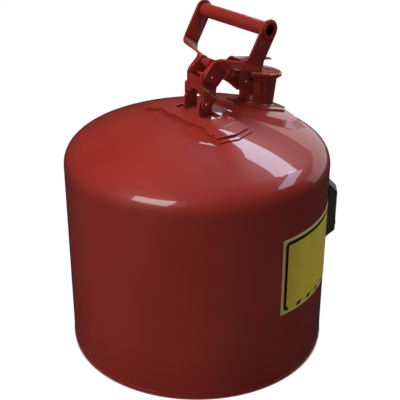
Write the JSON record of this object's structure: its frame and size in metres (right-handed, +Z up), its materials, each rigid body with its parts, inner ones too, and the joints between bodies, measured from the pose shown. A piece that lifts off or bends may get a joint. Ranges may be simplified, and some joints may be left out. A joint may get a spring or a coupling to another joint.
{
  "type": "safety gas can",
  "caption": "Round red steel safety can with a sprung pouring spout: pushing the swinging bail handle forward tilts a yoke that lifts the spout cap.",
  "frame": {"origin": "centre of the can's standing face", "axes": "+Z up, +X toward the pouring spout, -Y toward the side with the yellow panel"},
  "size_m": [0.3194, 0.3194, 0.408],
  "materials": {
    "red_paint": "gloss",
    "steel": "satin",
    "gasket": "matte",
    "panel": "gloss",
    "black_plastic": "matte"
  },
  "bodies": {
    "can": {"can_body": "red_paint", "bottom_pan": "red_paint", "foot_ring": "red_paint", "saddle_plate": "red_paint", "lower_pivot_rivets": "red_paint", "spout_flange": "red_paint", "spout": "red_paint", "flame_arrester": "steel", "arrester_ring": "steel", "lever_bracket": "red_paint", "lever_hinge_pin": "red_paint", "spring_seat": "red_paint", "seat_pin": "red_paint", "closing_spring": "red_paint", "label_panel": "panel", "side_block": "black_plastic", "side_block_rivet": "steel"},
    "yoke": {"yoke": "red_paint", "bail_pivot_pin": "red_paint", "rod_pivot_pin": "red_paint", "rod_spacers": "red_paint"},
    "bail": {"bail_strap_left": "red_paint", "bail_strap_right": "red_paint", "grip_tube": "red_paint"},
    "rod": {"push_rod": "red_paint", "rod_collar": "red_paint", "cross_pin": "red_paint"},
    "lid": {"cap_lever": "red_paint", "cap_stud": "red_paint", "cap": "red_paint", "cap_gasket": "gasket"}
  },
  "joints": [
    {"name": "yoke_tilt", "type": "hinge", "parent": "can", "child": "yoke", "pos_m": [0.001, 0, 0.309], "axis": [0, 1, 0], "range_deg": [0, 13], "stiffness_Nm_per_rad": 6, "springref_deg": -8.59, "deforming": ["closing_spring"]},
    {"name": "bail_swing", "type": "hinge", "parent": "yoke", "child": "bail", "pos_m": [0.0108, 0, 0.3385], "axis": [0, 1, 0], "range_deg": [-105, 0]},
    {"name": "rod_pivot", "type": "hinge", "parent": "yoke", "child": "rod", "pos_m": [0.019, 0, 0.3507], "axis": [0, 1, 0], "range_deg": [-13, 0]},
    {"name": "cap_lift", "type": "hinge", "parent": "can", "child": "lid", "pos_m": [0.061, 0, 0.341], "axis": [0, -1, 0], "range_deg": [0, 30]}
  ],
  "couplings": [
    {"joint": "rod_pivot", "follows": "yoke_tilt", "ratio": -1},
    {"joint": "cap_lift", "follows": "yoke_tilt", "ratio": 2.3}
  ]
}
